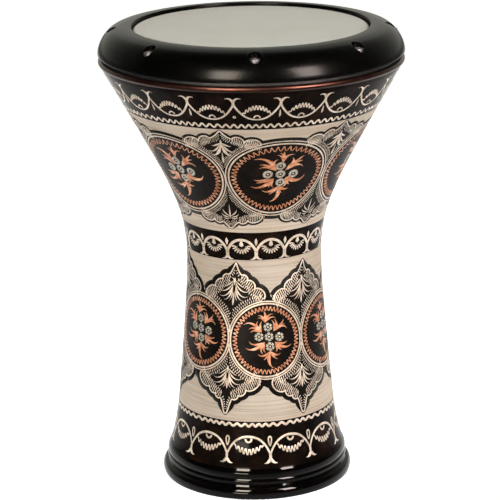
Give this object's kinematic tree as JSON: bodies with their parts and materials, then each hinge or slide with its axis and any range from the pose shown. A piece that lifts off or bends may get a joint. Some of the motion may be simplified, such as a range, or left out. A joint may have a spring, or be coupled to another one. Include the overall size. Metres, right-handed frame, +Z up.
{
  "type": "goblet drum",
  "caption": "Goblet hand drum, a darbuka: spun copper shell with lacquered bands, plastic head, and a cast ring with recessed bolts that tightens the head.",
  "frame": {"origin": "centre of the foot's flat edge, on the floor", "axes": "+Z up along the drum's own axis towards the head; -Y is the front, where the first tuning bolt is"},
  "size_m": [0.284, 0.284, 0.435],
  "materials": {
    "tinned_copper": "tinned copper, brushed round the drum, under clear lacquer",
    "lacquered_copper": "black lacquer over copper, engraved through to the bright metal",
    "bearing_casting": "cast aluminium, painted black",
    "head_film": "translucent polyester film, lightly textured",
    "hoop_aluminium": "rolled aluminium, satin",
    "ring_powder_coat": "cast aluminium with a satin black powder coat",
    "bolt_steel": "dark steel",
    "washer_zinc": "zinc plated steel"
  },
  "bodies": {
    "drum": {"bowl_shell": "tinned_copper", "stem_shell": "lacquered_copper", "bearing_ring": "bearing_casting", "drumhead": "head_film", "head_collar": "head_film"},
    "clamp": {"tuning_ring": "ring_powder_coat", "flesh_hoop": "hoop_aluminium", "washer_1": "washer_zinc", "washer_2": "washer_zinc", "washer_3": "washer_zinc", "washer_4": "washer_zinc", "washer_5": "washer_zinc", "washer_6": "washer_zinc", "washer_7": "washer_zinc", "washer_8": "washer_zinc"},
    "bolt_1": {"tuning_bolt_1": "bolt_steel"},
    "bolt_2": {"tuning_bolt_2": "bolt_steel"},
    "bolt_3": {"tuning_bolt_3": "bolt_steel"},
    "bolt_4": {"tuning_bolt_4": "bolt_steel"},
    "bolt_5": {"tuning_bolt_5": "bolt_steel"},
    "bolt_6": {"tuning_bolt_6": "bolt_steel"},
    "bolt_7": {"tuning_bolt_7": "bolt_steel"},
    "bolt_8": {"tuning_bolt_8": "bolt_steel"}
  },
  "joints": [
    {"name": "head_tension", "type": "slide", "parent": "drum", "child": "clamp", "axis": [0, 0, -1], "range_m": [-0.004, 0.0025]},
    {"name": "bolt_1_turn", "type": "hinge", "parent": "clamp", "child": "bolt_1", "pos_m": [0, -0.13, 0.4286], "axis": [0, 0, -1], "range_deg": [-1441, 901]},
    {"name": "bolt_2_turn", "type": "hinge", "parent": "clamp", "child": "bolt_2", "pos_m": [0.09192, -0.09192, 0.4286], "axis": [0, 0, -1], "range_deg": [-1441, 901]},
    {"name": "bolt_3_turn", "type": "hinge", "parent": "clamp", "child": "bolt_3", "pos_m": [0.13, 0, 0.4286], "axis": [0, 0, -1], "range_deg": [-1441, 901]},
    {"name": "bolt_4_turn", "type": "hinge", "parent": "clamp", "child": "bolt_4", "pos_m": [0.09192, 0.09192, 0.4286], "axis": [0, 0, -1], "range_deg": [-1441, 901]},
    {"name": "bolt_5_turn", "type": "hinge", "parent": "clamp", "child": "bolt_5", "pos_m": [0, 0.13, 0.4286], "axis": [0, 0, -1], "range_deg": [-1441, 901]},
    {"name": "bolt_6_turn", "type": "hinge", "parent": "clamp", "child": "bolt_6", "pos_m": [-0.09192, 0.09192, 0.4286], "axis": [0, 0, -1], "range_deg": [-1441, 901]},
    {"name": "bolt_7_turn", "type": "hinge", "parent": "clamp", "child": "bolt_7", "pos_m": [-0.13, 0, 0.4286], "axis": [0, 0, -1], "range_deg": [-1441, 901]},
    {"name": "bolt_8_turn", "type": "hinge", "parent": "clamp", "child": "bolt_8", "pos_m": [-0.09192, -0.09192, 0.4286], "axis": [0, 0, -1], "range_deg": [-1441, 901]}
  ],
  "couplings": [
    {"joint": "bolt_1_turn", "follows": "head_tension", "rad_per_m": 6283.2},
    {"joint": "bolt_2_turn", "follows": "head_tension", "rad_per_m": 6283.2},
    {"joint": "bolt_3_turn", "follows": "head_tension", "rad_per_m": 6283.2},
    {"joint": "bolt_4_turn", "follows": "head_tension", "rad_per_m": 6283.2},
    {"joint": "bolt_5_turn", "follows": "head_tension", "rad_per_m": 6283.2},
    {"joint": "bolt_6_turn", "follows": "head_tension", "rad_per_m": 6283.2},
    {"joint": "bolt_7_turn", "follows": "head_tension", "rad_per_m": 6283.2},
    {"joint": "bolt_8_turn", "follows": "head_tension", "rad_per_m": 6283.2}
  ]
}
